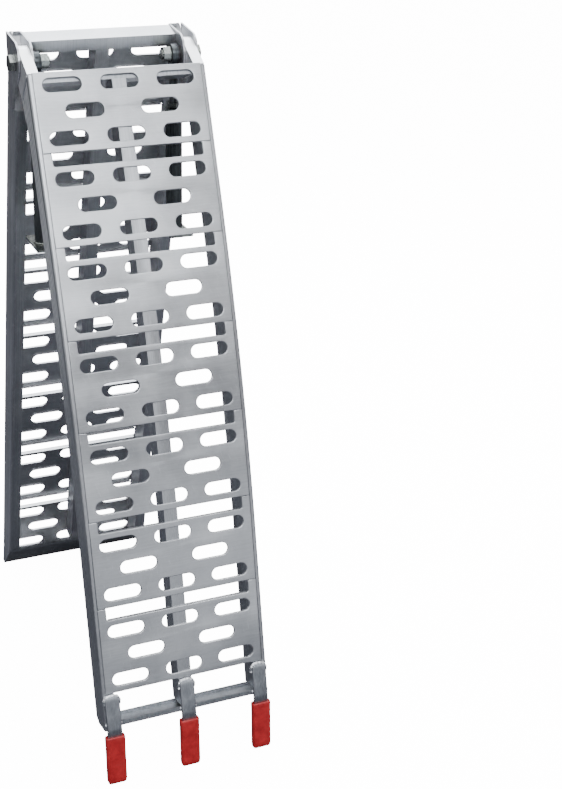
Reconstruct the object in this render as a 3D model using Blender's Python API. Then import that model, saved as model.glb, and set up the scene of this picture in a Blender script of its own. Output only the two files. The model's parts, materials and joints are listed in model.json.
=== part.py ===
"""Folding loading ramp: two punched-deck halves on a bolted hinge, standing
as an A, with two screw-adjusted support legs hanging from the hinge bolts.

The hinge axis lies along x at the top of the A.  The hook half runs down
towards -y and the ground half towards +y; left is -x.  The origin is on the
ground, in the middle of the standing footprint.

Pieces of a half are drawn in (x, along, depth): x across the ramp, along the
deck away from the hinge axis, depth below the deck surface.  The hinge axis
lies DECK_H below the deck surface at along = 0.
"""
import math

import bmesh
import bpy
from mathutils import Matrix, Vector

MM = 0.001
SIDES = ((-1, "left"), (1, "right"))

# ---- driving dimensions, millimetres -------------------------------------------
HALF_W = 140.0          # half the overall width over the rails
DECK_H = 58.0           # deck surface above the hinge axis, square to the deck
RAIL_W = 21.0           # rail box width
RAIL_D = 50.0           # rail underside below the deck surface
RAIL_IN_X = HALF_W - RAIL_W     # inner face of a rail
SHEET = 2.5             # deck sheet thickness
GAP = 0.3               # clearance between neighbouring pieces
RAIL_TOP = SHEET + GAP

# deck panels
PITCH = 141.0           # deck panel pitch
PANEL_HW = 133.0        # half width of a deck panel
PANEL_LEAD = 10.6       # start of a panel ahead of its opening centre
JOINT_GAP = 0.4         # between two panels
WINDOW_HW = 119.3       # half width of the opening between two panels
WINDOW_HALF = 9.4       # half height of that opening
LIP_D = 9.0             # depth of the panels' folded lips
LIP_T = 2.2
SLOT_L, SLOT_W = 60.0, 21.0
SLOT_ARC = 6            # segments in each rounded slot end
ROW_3 = (-89.4, 0.0, 89.4)
ROW_2 = (-59.5, 59.5)
ROWS = ((29.4, ROW_3), (69.5, ROW_2), (109.4, ROW_3))   # (from the opening centre, slot x)

# centre beams, and the ribbed box rails
BEAM_W, BEAM_D = 22.0, 40.0
TUBE_WALL = 2.0         # centre beams and cross tubes
BEAM_GAP = 0.3          # a beam's gap to the crossbar at its hinge end
LIPS = ((-117.0, -BEAM_W / 2 - 0.8), (BEAM_W / 2 + 0.8, 117.0))     # x ranges of the lips
RAIL_CORNER_R = 3.0
RAIL_CORNER_STEPS = 3
RAIL_WALL, RAIL_OUT_WALL = 2.2, 2.8
GROOVES = (14.0, 22.5, 31.0, 39.5)      # depths of the grooves in the outer face
GROOVE_HALF, GROOVE_FLOOR_HALF, GROOVE_IN = 1.4, 0.7, 0.9

# hook half
HOOK_PANELS = 7
HOOK_S0 = 17.3          # virtual opening ahead of the first hook panel
HOOK_START = HOOK_S0 + WINDOW_HALF      # hinge end of the hook deck
HOOK_END = 1054.7       # end of the hook rails
HOOK_BEND = 9.3         # degrees, total arch of the hook half
HOOK_KINKS = (2, 3, 4, 5)       # panel joints that share the arch
HOOK_BEAM_END = 1040.7

# ground half
GROUND_PANELS = 8
GROUND_S0 = -13.7
GROUND_START = -24.5
GROUND_TIP = 1123.5     # ground end, at the deck surface
GROUND_RAIL_MID = 560.0         # extra station along the ground rails
TIP_FLAT = 12.0         # square part of the ground end
TIP_RISE = 65.0         # length taken by the bevel behind it
TIP_SLOPE = TIP_RISE / (RAIL_D - TIP_FLAT)
PLATE_T = 3.0

# cut rail ends at the hinge
HOOK_CUT = 29.0 / RAIL_D        # slope of the hook rails' hinge ends
GROUND_CUT = 110.5 / RAIL_D     # slope of the ground rails' hinge ends
CUT_OFFSET = 0.4
CAP_T = 2.5
HOOK_CAP_INSET = 0.2

# hinge
CHEEK_T = 3.0           # hinge cheeks of the ground half
CHEEK_TOP = 0.5         # depth of their top edge
LUG_X0, LUG_X1 = 122.4, HALF_W - GAP    # folded hinge bracket of the hook half
LUG_WALL = 3.0
LUG_R = 25.0
LUG_ARC = 14            # segments round the lug
LUG_ARC_END = 62.0      # degrees
WEB_CLEAR = 1.5         # web to the lug's swing
WEB_START = 5.4         # top edge of the web below the cheek corner
BOLT_R = 8.0
BORE_R = BOLT_R + 0.35
BORE_SIDES = 24
BOLT_HEAD_H = 10.0
BOLT_END_X = 89.5
HEAD_FLATS, NUT_FLATS = 24.0, 22.0      # across flats
NUT_L = 12.0
NUT_GAP = 0.5           # nut to leg eye
OPEN_ANGLE = 37.7       # degrees between the halves as it stands

# Lower edge of the hinge cheeks: (along, below the hinge axis, corner radius)
CHEEK_EDGE = (
    (-33.5, 1.0, 6), (-29.0, 13.0, 12), (-14.0, 24.5, 12),
    (5.0, 25.5, 16), (36.0, 9.0, 30), (66.0, -4.0, 10),
)

# Section of the channel across the hook end: (along, depth)
END_CHANNEL = (
    (1042.0, 0.0), (1049.9, 0.0), (1049.9, 35.0), (1041.0, 35.0),
    (1041.0, 32.2), (1047.0, 32.2), (1047.0, 2.8), (1042.0, 2.8),
)

# support legs; depths are measured below the hinge axis
LEG_X = 111.0
LEG_TUBE_R = 13.5
LEG_TUBE_WALL = 2.8
LEG_ROD_R = 7.0
LEG_ROD_BORE_R = LEG_ROD_R + 0.4
LEG_ROD_TOP, LEG_ROD_END = 13.6, 205.0
EYE_R, EYE_HALF_W = 16.0, 6.0
FOOT_DEPTH = 292.0      # hinge axis to the underside of the foot
FOOT_T = 4.0
FOOT_HALF_X, FOOT_HALF_Y = 20.0, 39.5
FOOT_CORNER_R = 2

# Bored leg pieces: (name, top, bottom, radius, bore radius, sides, material)
LEG_PIECES = (
    ("leg_lock_nut", 76.0, 84.0, 11.5, LEG_ROD_BORE_R, 6, "zinc_steel"),
    ("leg_tube_nut", 85.5, 91.5, 13.2, LEG_ROD_BORE_R, 24, "zinc_bolt"),
    ("leg_tube", 91.8, FOOT_DEPTH - FOOT_T - GAP, LEG_TUBE_R,
     LEG_TUBE_R - LEG_TUBE_WALL, 28, "zinc_steel"),
)

# hook fingers and their sleeves; distances run along the finger
FINGER_W, FINGER_T = 24.0, 6.0
FINGERS = ((-125.0, "left"), (0.0, "centre"), (125.0, "right"))
FINGER_LIFT = GAP       # finger underside above the deck surface
FINGER_START = 998.0
FINGER_KINK = 1054.0
FINGER_TIP = 1148.0
FINGER_TURN = 9.0       # degrees, fingers turned down past the rail ends
FINGER_CORNER = ((0.0, 7.0), (2.0, 2.0), (7.0, 0.0))    # (from the side, from the start)
SLEEVE_START = 1064.0
SLEEVE_WALL = 3.0
SLEEVE_TIP = FINGER_TIP + SLEEVE_WALL
SLEEVE_BORE_CORNER = 0.4

# Outside of a sleeve: (inset at the sides, inset at the faces, along, corner cut)
SLEEVE_SECTIONS = (
    (0.8, 0.8, SLEEVE_START, 2.0),
    (0.0, 0.0, SLEEVE_START + 1.5, 2.5),
    (0.0, 0.0, SLEEVE_TIP - 4.0, 2.5),
    (3.0, 1.8, SLEEVE_TIP, 2.0),
)

# edges sharper than these angles, in degrees, stay sharp when shaded smooth
PLATE_SMOOTH = 30.0
BOLT_SMOOTH = 35.0
ROUND_SMOOTH = 40.0

MATERIALS = {
    "aluminium": dict(colour=(0.60, 0.61, 0.63, 1.0), roughness=0.42, metallic=1.0),
    "zinc_bolt": dict(colour=(0.62, 0.63, 0.60, 1.0), roughness=0.30, metallic=1.0),
    "zinc_steel": dict(colour=(0.23, 0.25, 0.26, 1.0), roughness=0.45, metallic=1.0),
    "red_rubber": dict(colour=(0.42, 0.02, 0.02, 1.0), roughness=0.55, metallic=0.0),
}


# ---- scene, materials and objects ------------------------------------------------
def clear_scene():
    for ob in list(bpy.data.objects):
        bpy.data.objects.remove(ob, do_unlink=True)


def material(name):
    mat = bpy.data.materials.get(name)
    if mat is None:
        mat = bpy.data.materials.new(name)
        mat.use_nodes = True
        look = MATERIALS[name]
        bsdf = mat.node_tree.nodes["Principled BSDF"]
        bsdf.inputs["Base Color"].default_value = look["colour"]
        bsdf.inputs["Roughness"].default_value = look["roughness"]
        bsdf.inputs["Metallic"].default_value = look["metallic"]
    return mat


def empty(name, parent=None):
    ob = bpy.data.objects.new(name, None)
    bpy.context.scene.collection.objects.link(ob)
    ob.parent = parent
    return ob


def add_object(name, bm, parent, mat, smooth=None):
    bmesh.ops.recalc_face_normals(bm, faces=bm.faces[:])
    mesh = bpy.data.meshes.new(name)
    bm.to_mesh(mesh)
    bm.free()
    if smooth is not None:
        mesh.shade_smooth()
        mesh.set_sharp_from_angle(angle=math.radians(smooth))
    ob = bpy.data.objects.new(name, mesh)
    bpy.context.scene.collection.objects.link(ob)
    ob.data.materials.append(material(mat))
    ob.parent = parent
    return ob


def add_boolean(ob, tool, name, operation):
    """Combine ob with a tool object that is hidden from the render."""
    modifier = ob.modifiers.new(name, "BOOLEAN")
    modifier.operation = operation
    modifier.solver = "EXACT"
    modifier.object = tool
    tool.hide_render = True
    tool.display_type = "WIRE"


# ---- mesh helpers ------------------------------------------------------------------
def closed_pairs(loop):
    return zip(loop, loop[1:] + loop[:1])


def skin(make_face, ring_a, ring_b):
    """Join two closed rings with a band of quads."""
    for (a0, b0), (a1, b1) in closed_pairs(list(zip(ring_a, ring_b))):
        make_face((a0, a1, b1, b0))


def fill_loops(bm, loops):
    """Triangulate the area between closed loops of vertices."""
    edges = []
    for loop in loops:
        for start, end in closed_pairs(loop):
            edges.append(bm.edges.get((start, end)) or bm.edges.new((start, end)))
    bmesh.ops.triangle_fill(bm, use_beauty=True, use_dissolve=False, edges=edges)


class Half:
    """Maps (x, along, depth) of a half onto its empty, hinge axis at zero."""

    def __init__(self, name, outward, kinks=()):
        self.empty = empty(name, ramp)
        self.outward = outward              # side of the hinge the deck faces, in y
        self.kinks = list(kinks)            # (along, radians)

    def station(self, along):
        """Reach and height of the deck surface from the axis, its turn, and
        the stretch of depths on a mitre."""
        reach, height, turn, last = 0.0, DECK_H, 0.0, 0.0
        for kink, step in self.kinks:
            if along < kink - 1e-6:
                break
            reach += (kink - last) * math.cos(turn)
            height -= (kink - last) * math.sin(turn)
            if abs(along - kink) <= 1e-6:
                turn += step / 2.0
                return reach, height, turn, 1.0 / math.cos(step / 2.0)
            turn += step
            last = kink
        reach += (along - last) * math.cos(turn)
        height -= (along - last) * math.sin(turn)
        return reach, height, turn, 1.0

    def point(self, x, along, depth):
        reach, height, turn, stretch = self.station(along)
        reach -= depth * stretch * math.sin(turn)
        height -= depth * stretch * math.cos(turn)
        return Vector((x, height * self.outward, -reach)) * MM


class FingerFrame:
    """Maps (x, along a finger, lift above its underside) onto the hook half."""

    def __init__(self, half):
        self.half = half
        self.empty = half.empty

    def place(self, along, lift):
        """Reach and height from the hinge axis."""
        reach, height, turn, _ = self.half.station(min(along, FINGER_KINK))
        reach += FINGER_LIFT * math.sin(turn)
        height += FINGER_LIFT * math.cos(turn)
        past = along - FINGER_KINK
        if abs(past) < 1e-6:
            turn += math.radians(FINGER_TURN) / 2.0
            lift /= math.cos(math.radians(FINGER_TURN) / 2.0)
        elif past > 0:
            turn += math.radians(FINGER_TURN)
            reach += past * math.cos(turn)
            height -= past * math.sin(turn)
        return reach + lift * math.sin(turn), height + lift * math.cos(turn)

    def point(self, x, along, lift):
        reach, height = self.place(along, lift)
        return Vector((x, height * self.half.outward, -reach)) * MM


class Shape:
    """A bmesh whose vertices are shared by their position in a frame."""

    def __init__(self, frame):
        self.frame = frame
        self.bm = bmesh.new()
        self.known = {}

    def vertex(self, point):
        key = tuple(round(value, 4) for value in point)
        if key not in self.known:
            self.known[key] = self.bm.verts.new(self.frame.point(*point))
        return self.known[key]

    def face(self, points):
        self.bm.faces.new([self.vertex(p) for p in points])

    def skin(self, ring_a, ring_b):
        skin(self.face, ring_a, ring_b)

    def fill(self, loops):
        fill_loops(self.bm, [[self.vertex(p) for p in loop] for loop in loops])

    def finish(self, name, mat="aluminium", smooth=None):
        return add_object(name, self.bm, self.frame.empty, mat, smooth)


# ---- outlines ----------------------------------------------------------------------
def box_rings(low_a, high_a, low_b, high_b, wall):
    """Outer and inner outline of a box tube."""
    return [[(low_a + w, low_b + w), (high_a - w, low_b + w),
             (high_a - w, high_b - w), (low_a + w, high_b - w)] for w in (0.0, wall)]


def beside(start, end, distance):
    """The line start-end moved sideways."""
    start, end = Vector(start), Vector(end)
    normal = Vector((-(end - start).y, (end - start).x)).normalized()
    return [tuple(start + normal * distance), tuple(end + normal * distance)]


def strip(start, end, near, far):
    """Flat strip beside the line start-end, between two distances from it."""
    return beside(start, end, near) + beside(start, end, far)[::-1]


def rounded(points, radii, steps=4):
    """Polygon with its corners rounded; radius 0 keeps a corner."""
    out = []
    for i, (point, radius) in enumerate(zip(points, radii)):
        if radius <= 0:
            out.append(tuple(point))
            continue
        corner = Vector(point)
        back = (Vector(points[i - 1]) - corner).normalized()
        ahead = (Vector(points[(i + 1) % len(points)]) - corner).normalized()
        half_angle = back.angle(ahead) / 2.0
        tangent = radius / math.tan(half_angle)
        centre = corner + (back + ahead).normalized() * (radius / math.sin(half_angle))
        first = (corner + back * tangent) - centre
        last = (corner + ahead * tangent) - centre
        turn = -first.angle_signed(last)
        for k in range(steps + 1):
            spoke = first.copy()
            spoke.rotate(Matrix.Rotation(turn * k / steps, 2))
            out.append(tuple(centre + spoke))
    return out


def hinge_bore():
    angles = [math.radians(360.0 * i / BORE_SIDES) for i in range(BORE_SIDES)]
    return [(BORE_R * math.cos(a), DECK_H + BORE_R * math.sin(a)) for a in angles]


# ---- extrusions --------------------------------------------------------------------
def slab(name, half, outline, x0, x1, hole=None, smooth=None):
    """Flat plate: an (along, depth) outline given a thickness across the ramp."""
    shape = Shape(half)
    loops = [outline] + ([hole] if hole else [])
    for loop in loops:
        shape.skin([(x0, *p) for p in loop], [(x1, *p) for p in loop])
    for x in (x0, x1):
        shape.fill([[(x, *p) for p in loop] for loop in loops])
    return shape.finish(name, smooth=smooth)


def cross_tube(name, half, start, end, top, bottom):
    """Open-ended box tube lying across the ramp, between the rails."""
    shape = Shape(half)
    half_len = RAIL_IN_X - GAP
    outer, inner = box_rings(start, end, top, bottom, TUBE_WALL)
    for ring in (outer, inner):
        shape.skin([(-half_len, *p) for p in ring], [(half_len, *p) for p in ring])
    for x in (-half_len, half_len):
        shape.skin([(x, *p) for p in outer], [(x, *p) for p in inner])
    shape.finish(name)


def end_part(rings, keep):
    """The part of an end face whose depths pass keep, as one loop of (x, depth)."""
    runs = []
    for ring in rings:
        start = next(i for i in range(len(ring))
                     if keep(ring[i][1]) and not keep(ring[i - 1][1]))
        run = []
        for p in ring[start:] + ring[:start]:
            if not keep(p[1]):
                break
            run.append(p)
        runs.append(run)
    return runs[0] + runs[1][::-1]


def sweep(name, half, rings, stations, smooth=None, split=None):
    """Hollow extrusion of (x, depth) rings along a half.

    A station is a number or a function of depth.  With a split depth the
    last end face is bent there."""
    shape = Shape(half)

    def at(station, ring):
        return [(x, station(depth) if callable(station) else station, depth)
                for x, depth in ring]

    for near, far in zip(stations, stations[1:]):
        for ring in rings:
            shape.skin(at(near, ring), at(far, ring))
    shape.fill([at(stations[0], ring) for ring in rings])
    last = stations[-1]
    if split is None:
        shape.fill([at(last, ring) for ring in rings])
    else:
        shape.fill([at(last, end_part(rings, lambda depth: depth <= split + 1e-6))])
        shape.fill([at(last, end_part(rings, lambda depth: depth >= split - 1e-6))])
    shape.finish(name, smooth=smooth)


def prism(name, parent, start, end, radius, bore_radius, sides, mat, leg_x=None):
    """Solid or bored prism along the hinge axis, or down the leg at leg_x."""
    bm = bmesh.new()

    def ring(distance, ring_radius, count):
        verts = []
        for i in range(count):
            angle = 2 * math.pi * (i + 0.5) / count
            a, b = ring_radius * math.cos(angle), ring_radius * math.sin(angle)
            place = (distance, a, b) if leg_x is None else (a + leg_x, b, -distance)
            verts.append(bm.verts.new(Vector(place) * MM))
        return verts

    outer = [ring(distance, radius, sides) for distance in (start, end)]
    skin(bm.faces.new, *outer)
    if bore_radius > 0:
        bore_sides = max(sides, BORE_SIDES)
        inner = [ring(distance, bore_radius, bore_sides) for distance in (start, end)]
        skin(bm.faces.new, *inner)
        for loops in zip(outer, inner):
            fill_loops(bm, loops)
    else:
        for end_ring in outer:
            bm.faces.new(end_ring)
    return add_object(name, bm, parent, mat, ROUND_SMOOTH)


# ---- deck panels -------------------------------------------------------------------
def slot_outline(centre_x, centre_along):
    points, radius = [], SLOT_W / 2.0
    half = SLOT_L / 2.0 - radius
    for side, start in ((1, -90.0), (-1, 90.0)):
        for i in range(SLOT_ARC + 1):
            angle = math.radians(start + 180.0 * i / SLOT_ARC)
            points.append((centre_x + side * half + radius * math.cos(angle),
                           centre_along + radius * math.sin(angle)))
    return points


def folded_lip(shape, x0, x1, edge, inner):
    """Lip folded down from a sheet edge, between the edge and inner."""
    shape.face([(x0, edge, 0), (x1, edge, 0), (x1, edge, SHEET),
                (x1, edge, LIP_D), (x0, edge, LIP_D), (x0, edge, SHEET)])
    shape.face([(x0, edge, LIP_D), (x1, edge, LIP_D), (x1, inner, LIP_D), (x0, inner, LIP_D)])
    shape.face([(x0, inner, LIP_D), (x1, inner, LIP_D), (x1, inner, SHEET), (x0, inner, SHEET)])
    for x in (x0, x1):
        shape.face([(x, edge, SHEET), (x, edge, LIP_D), (x, inner, LIP_D), (x, inner, SHEET)])


def deck_panel(name, half, opening, start=None, end=None):
    """One punched sheet: three rows of slots, lips folded down at its ends.

    A panel with a given start has no opening and no upper lip; one with a
    given end has no lower lip."""
    if start is None:
        top, notch = opening - PANEL_LEAD, opening + WINDOW_HALF
        outline = [(-PANEL_HW, top), (-WINDOW_HW, top), (-WINDOW_HW, notch)]
        outline += [(x, notch) for lip in LIPS for x in lip]
        outline += [(WINDOW_HW, notch), (WINDOW_HW, top), (PANEL_HW, top)]
    else:
        outline = [(-PANEL_HW, start), (PANEL_HW, start)]
    bottom = opening + PITCH - PANEL_LEAD - JOINT_GAP if end is None else end
    outline.append((PANEL_HW, bottom))
    if end is None:
        outline += [(x, bottom) for lip in reversed(LIPS) for x in reversed(lip)]
    outline.append((-PANEL_HW, bottom))

    shape = Shape(half)
    underside = []
    for p, q in closed_pairs(outline):
        underside.append(p)
        if tuple(sorted((p[0], q[0]))) in LIPS:
            inner = p[1] - LIP_T if p[1] == bottom else p[1] + LIP_T
            underside += [(p[0], inner), (q[0], inner)]
            folded_lip(shape, p[0], q[0], p[1], inner)
        else:
            shape.face([(*p, 0), (*q, 0), (*q, SHEET), (*p, SHEET)])
    slots = [slot_outline(x, opening + offset) for offset, row in ROWS for x in row]
    for depth, ring in ((0.0, outline), (SHEET, underside)):
        shape.fill([[(*p, depth) for p in loop] for loop in [ring] + slots])
    for loop in slots:
        shape.skin([(*p, 0) for p in loop], [(*p, SHEET) for p in loop])
    shape.finish(name)


def decks():
    for k in range(HOOK_PANELS):
        deck_panel(f"hook_deck_panel_{k + 1}", HOOK, HOOK_S0 + PITCH * k,
                   start=HOOK_START if k == 0 else None)
    for k in range(GROUND_PANELS):
        deck_panel(f"ground_deck_panel_{k + 1}", GROUND, GROUND_S0 + PITCH * k,
                   end=GROUND_TIP - PLATE_T - GAP if k == GROUND_PANELS - 1 else None)


# ---- cut ends of the rails -----------------------------------------------------------
def hook_cut(depth):
    """Hinge end of the hook rails, set back for their cap."""
    return (HOOK_START - CUT_OFFSET + (CAP_T + GAP) * math.hypot(1.0, HOOK_CUT)
            + depth * HOOK_CUT)


def ground_cut(depth):
    return GROUND_START + CUT_OFFSET + depth * GROUND_CUT


def ground_tip(depth, inset=PLATE_T + GAP):
    """Ground end, square and then bevelled, offset inwards."""
    bevel = GROUND_TIP - inset * math.hypot(1.0, TIP_SLOPE) - (depth - TIP_FLAT) * TIP_SLOPE
    return min(GROUND_TIP - inset, bevel)


def tip_break(inset):
    """Depth where the square end meets the bevel, offset inwards."""
    return TIP_FLAT - (inset * math.hypot(1.0, TIP_SLOPE) - inset) / TIP_SLOPE


def cut_line(cut, top, bottom):
    """The two ends of a rail cut between two depths."""
    return (cut(top), top), (cut(bottom), bottom)


# ---- rails and their caps ------------------------------------------------------------
def rail_profile(side, split=None):
    """Outer and inner outline of the ribbed box rail, as (x, depth).

    The outer top edge is a ledge that stands flush with the deck surface.
    A split depth adds a point to every upright."""
    radius, ledge = RAIL_CORNER_R, PANEL_HW + GAP
    angles = [math.radians(90.0 * i / RAIL_CORNER_STEPS) for i in range(RAIL_CORNER_STEPS + 1)]

    def split_at(x):
        return [(x, split)] if split else []

    outer = [(RAIL_IN_X, RAIL_TOP), (ledge, RAIL_TOP), (ledge, 0.0)]
    outer += [(HALF_W - radius + radius * math.sin(a), radius - radius * math.cos(a))
              for a in angles]
    outer += split_at(HALF_W)
    for groove in GROOVES:
        outer += [(HALF_W, groove - GROOVE_HALF),
                  (HALF_W - GROOVE_IN, groove - GROOVE_FLOOR_HALF),
                  (HALF_W - GROOVE_IN, groove + GROOVE_FLOOR_HALF),
                  (HALF_W, groove + GROOVE_HALF)]
    outer += [(HALF_W - radius + radius * math.cos(a), RAIL_D - radius + radius * math.sin(a))
              for a in angles]
    outer += [(RAIL_IN_X, RAIL_D)] + split_at(RAIL_IN_X)

    in_x, out_x = RAIL_IN_X + RAIL_WALL, HALF_W - RAIL_OUT_WALL
    inner = [(in_x, RAIL_TOP + RAIL_WALL), (out_x, RAIL_TOP + RAIL_WALL)]
    inner += split_at(out_x)
    inner += [(out_x, RAIL_D - RAIL_WALL), (in_x, RAIL_D - RAIL_WALL)]
    inner += split_at(in_x)
    return [[(side * x, depth) for x, depth in ring] for ring in (outer, inner)]


def rails(side, word):
    sweep(f"hook_rail_{word}", HOOK, rail_profile(side),
          [hook_cut] + KINK_STATIONS + [HOOK_END], smooth=PLATE_SMOOTH)
    split = tip_break(PLATE_T + GAP)
    sweep(f"ground_rail_{word}", GROUND, rail_profile(side, split),
          [ground_cut, GROUND_RAIL_MID, ground_tip], smooth=PLATE_SMOOTH, split=split)


def rail_caps(side, word):
    """Sloping plates that close the cut rail ends."""
    cap = strip(*cut_line(hook_cut, RAIL_TOP + 0.2, 48.4), GAP, GAP + CAP_T)
    slab(f"hook_rail_cap_{word}", HOOK, cap, side * (RAIL_IN_X + HOOK_CAP_INSET),
         side * (HALF_W - HOOK_CAP_INSET))
    cap = strip(*cut_line(ground_cut, 7.0, 48.0), GAP, GAP + CAP_T)
    slab(f"ground_rail_cap_{word}", GROUND, cap, side * (RAIL_IN_X + CHEEK_T + GAP),
         side * HALF_W)


# ---- hinge plates ----------------------------------------------------------------------
def hinge_cheeks(side, word):
    """The outer cheek laps the rail's outside, the inner stands below its cut."""
    lower = [(along, DECK_H + below) for along, below, _ in CHEEK_EDGE]
    radii = [radius for _, _, radius in CHEEK_EDGE]
    outer = rounded([(GROUND_START, CHEEK_TOP)] + lower + [(84.0, RAIL_D), (86.0, 34.0)],
                    [0] + radii + [4, 4])
    slab(f"ground_outer_cheek_{word}", GROUND, outer, side * (HALF_W + GAP),
         side * (HALF_W + GAP + CHEEK_T), hole=hinge_bore(), smooth=PLATE_SMOOTH)

    top, bottom = beside(*cut_line(ground_cut, 3.4, RAIL_D - 0.5), GAP)
    inner = rounded([top, (GROUND_START, top[1])] + lower
                    + [(ground_cut(RAIL_D) - 2.2, RAIL_D - 0.2), bottom],
                    [0, 0] + radii + [0, 0])
    slab(f"ground_inner_cheek_{word}", GROUND, inner, side * RAIL_IN_X,
         side * (RAIL_IN_X + CHEEK_T), hole=hinge_bore(), smooth=PLATE_SMOOTH)


def hinge_web(side, word):
    """Sloping web between the cheeks, clear of the lug that turns in front of it."""
    clear = LUG_R + WEB_CLEAR
    corner = Vector((GROUND_START + 0.3, CHEEK_TOP - DECK_H))   # from the hinge axis
    # from the corner along the tangent to the clearance circle
    angle = math.atan2(-corner.y, -corner.x) - math.asin(clear / corner.length)
    run = Vector((math.cos(angle), math.sin(angle)))
    reach = math.sqrt(corner.length_squared - clear * clear)
    corner.y += DECK_H
    web = strip(corner + run * (WEB_START / run.y), corner + run * reach, 0.0, -CAP_T)
    # trim the top edge level
    level = web[0][1]
    web[-1] = (web[-1][0] + run.x / run.y * (level - web[-1][1]), level)
    slab(f"ground_hinge_web_{word}", GROUND, web, side * (RAIL_IN_X + CHEEK_T + GAP),
         side * HALF_W)


def hinge_bracket(side, word):
    """Folded bracket of the hook half, turning between the two cheeks."""
    setback = (CAP_T + 2 * GAP) * math.hypot(1.0, HOOK_CUT)
    top = Vector((hook_cut(RAIL_TOP) - setback, RAIL_TOP))
    rail_under = RAIL_D + GAP
    bottom = (hook_cut(rail_under) - setback, rail_under)
    # the front edge runs from the top onto the lug as a tangent
    away = math.atan2(top.y - DECK_H, top.x)
    touch = away - math.acos(LUG_R / math.hypot(top.x, top.y - DECK_H))
    span = touch + 2 * math.pi - math.radians(LUG_ARC_END)
    angles = [touch - span * i / LUG_ARC for i in range(LUG_ARC + 1)]
    arc = [(LUG_R * math.cos(a), DECK_H + LUG_R * math.sin(a)) for a in angles]
    far = hook_cut(RAIL_D) + 33.0
    outline = [tuple(top)] + arc + [(58.0, DECK_H), (far, RAIL_D + 1.6), (far, rail_under),
                                    bottom]
    bracket = slab(f"hook_hinge_bracket_{word}", HOOK, outline, side * LUG_X0,
                   side * LUG_X1, hole=hinge_bore())

    # the hollow leaves the front edge and both side walls
    tangent = Vector(arc[0])
    direction = (tangent - top).normalized()
    inward = Vector((-direction.y, direction.x))
    if inward.x < 0:
        inward = -inward
    beyond, under = 160.0, DECK_H + 60.0
    hollow = [tuple(top + inward * LUG_WALL - direction * 30.0),
              tuple(tangent + inward * LUG_WALL),
              (tangent.x + 6.0, under), (beyond, under), (beyond, -10.0)]
    tool = slab(f"hinge_bracket_hollow_{word}", HOOK, hollow, side * (LUG_X0 + LUG_WALL),
                side * (LUG_X1 - LUG_WALL))
    add_boolean(bracket, tool, "hollow", "DIFFERENCE")


# ---- centre beams, cross members and end plate ------------------------------------------
def cross_members():
    beam = box_rings(-BEAM_W / 2, BEAM_W / 2, RAIL_TOP, BEAM_D, TUBE_WALL)
    bar_start, bar_end = HOOK_START + 0.3, HOOK_START + 15.3
    cross_tube("hook_hinge_crossbar", HOOK, bar_start, bar_end, 7.0, 42.0)
    half_len = RAIL_IN_X - GAP
    slab("hook_end_crossbar", HOOK, list(END_CHANNEL), -half_len, half_len)
    sweep("hook_centre_beam", HOOK, beam,
          [bar_end + BEAM_GAP] + KINK_STATIONS + [HOOK_BEAM_END])

    bar_end = GROUND_START + 20.0
    cross_tube("ground_hinge_crossbar", GROUND, GROUND_START, bar_end, 6.0, 40.0)
    sweep("ground_centre_beam", GROUND, beam,
          [bar_end + BEAM_GAP, ground_tip(BEAM_D) - 0.5])


def ground_end_plate():
    """Bent plate: square nose and bevel."""
    plate = [(GROUND_TIP - PLATE_T, 0.0), (GROUND_TIP, 0.0), (GROUND_TIP, TIP_FLAT),
             (GROUND_TIP - TIP_RISE, RAIL_D), (ground_tip(RAIL_D, PLATE_T), RAIL_D),
             (GROUND_TIP - PLATE_T, tip_break(PLATE_T))]
    slab("ground_end_plate", GROUND, plate, -HALF_W, HALF_W)


# ---- hook fingers -------------------------------------------------------------------------
def finger(x, word):
    """Flat bar with clipped corners at its start, bent down past the rail ends."""
    shape = Shape(FINGER)
    left, right = x - FINGER_W / 2.0, x + FINGER_W / 2.0
    corners = [(left + inset, FINGER_START + back) for inset, back in FINGER_CORNER]
    corners += [(right - inset, FINGER_START + back) for inset, back in FINGER_CORNER[::-1]]
    stations = (corners[0][1], FINGER_KINK, FINGER_TIP)
    for lift in (0.0, FINGER_T):
        shape.face([(*p, lift) for p in corners])
        for near, far in zip(stations, stations[1:]):
            shape.face([(left, near, lift), (right, near, lift),
                        (right, far, lift), (left, far, lift)])
    boundary = corners + [(right, FINGER_KINK), (right, FINGER_TIP),
                          (left, FINGER_TIP), (left, FINGER_KINK)]
    shape.skin([(*p, 0.0) for p in boundary], [(*p, FINGER_T) for p in boundary])
    shape.finish(f"hook_finger_{word}")


def sleeve(x, word):
    """Dipped cap with an open mouth, GAP clear of the bar."""
    def section(half_w, grow, along, cut):
        low, high = -grow, FINGER_T + grow
        left, right = x - half_w, x + half_w
        outline = [(left + cut, low), (right - cut, low), (right, low + cut),
                   (right, high - cut), (right - cut, high), (left + cut, high),
                   (left, high - cut), (left, low + cut)]
        return [(px, along, lift) for px, lift in outline]

    shape = Shape(FINGER)
    bore_hw = FINGER_W / 2.0 + GAP
    outside = [section(bore_hw + SLEEVE_WALL - side_inset, GAP + SLEEVE_WALL - face_inset,
                       along, cut)
               for side_inset, face_inset, along, cut in SLEEVE_SECTIONS]
    inside = [section(bore_hw, GAP, along, SLEEVE_BORE_CORNER)
              for along in (SLEEVE_START, FINGER_TIP + GAP)]
    for rings in (outside, inside):
        for near, far in zip(rings, rings[1:]):
            shape.skin(near, far)
    shape.skin(outside[0], inside[0])
    shape.face(outside[-1])
    shape.face(inside[-1])
    shape.finish(f"hook_sleeve_{word}", "red_rubber", ROUND_SMOOTH)


# ---- hinge bolts ----------------------------------------------------------------------------
def hex_radius(corner_radius, angle):
    """Radius of a hexagon in the direction of an angle."""
    sixth = math.pi / 6
    local = (angle + sixth) % (2 * sixth) - sixth
    return corner_radius * math.cos(sixth) / math.cos(local)


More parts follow.
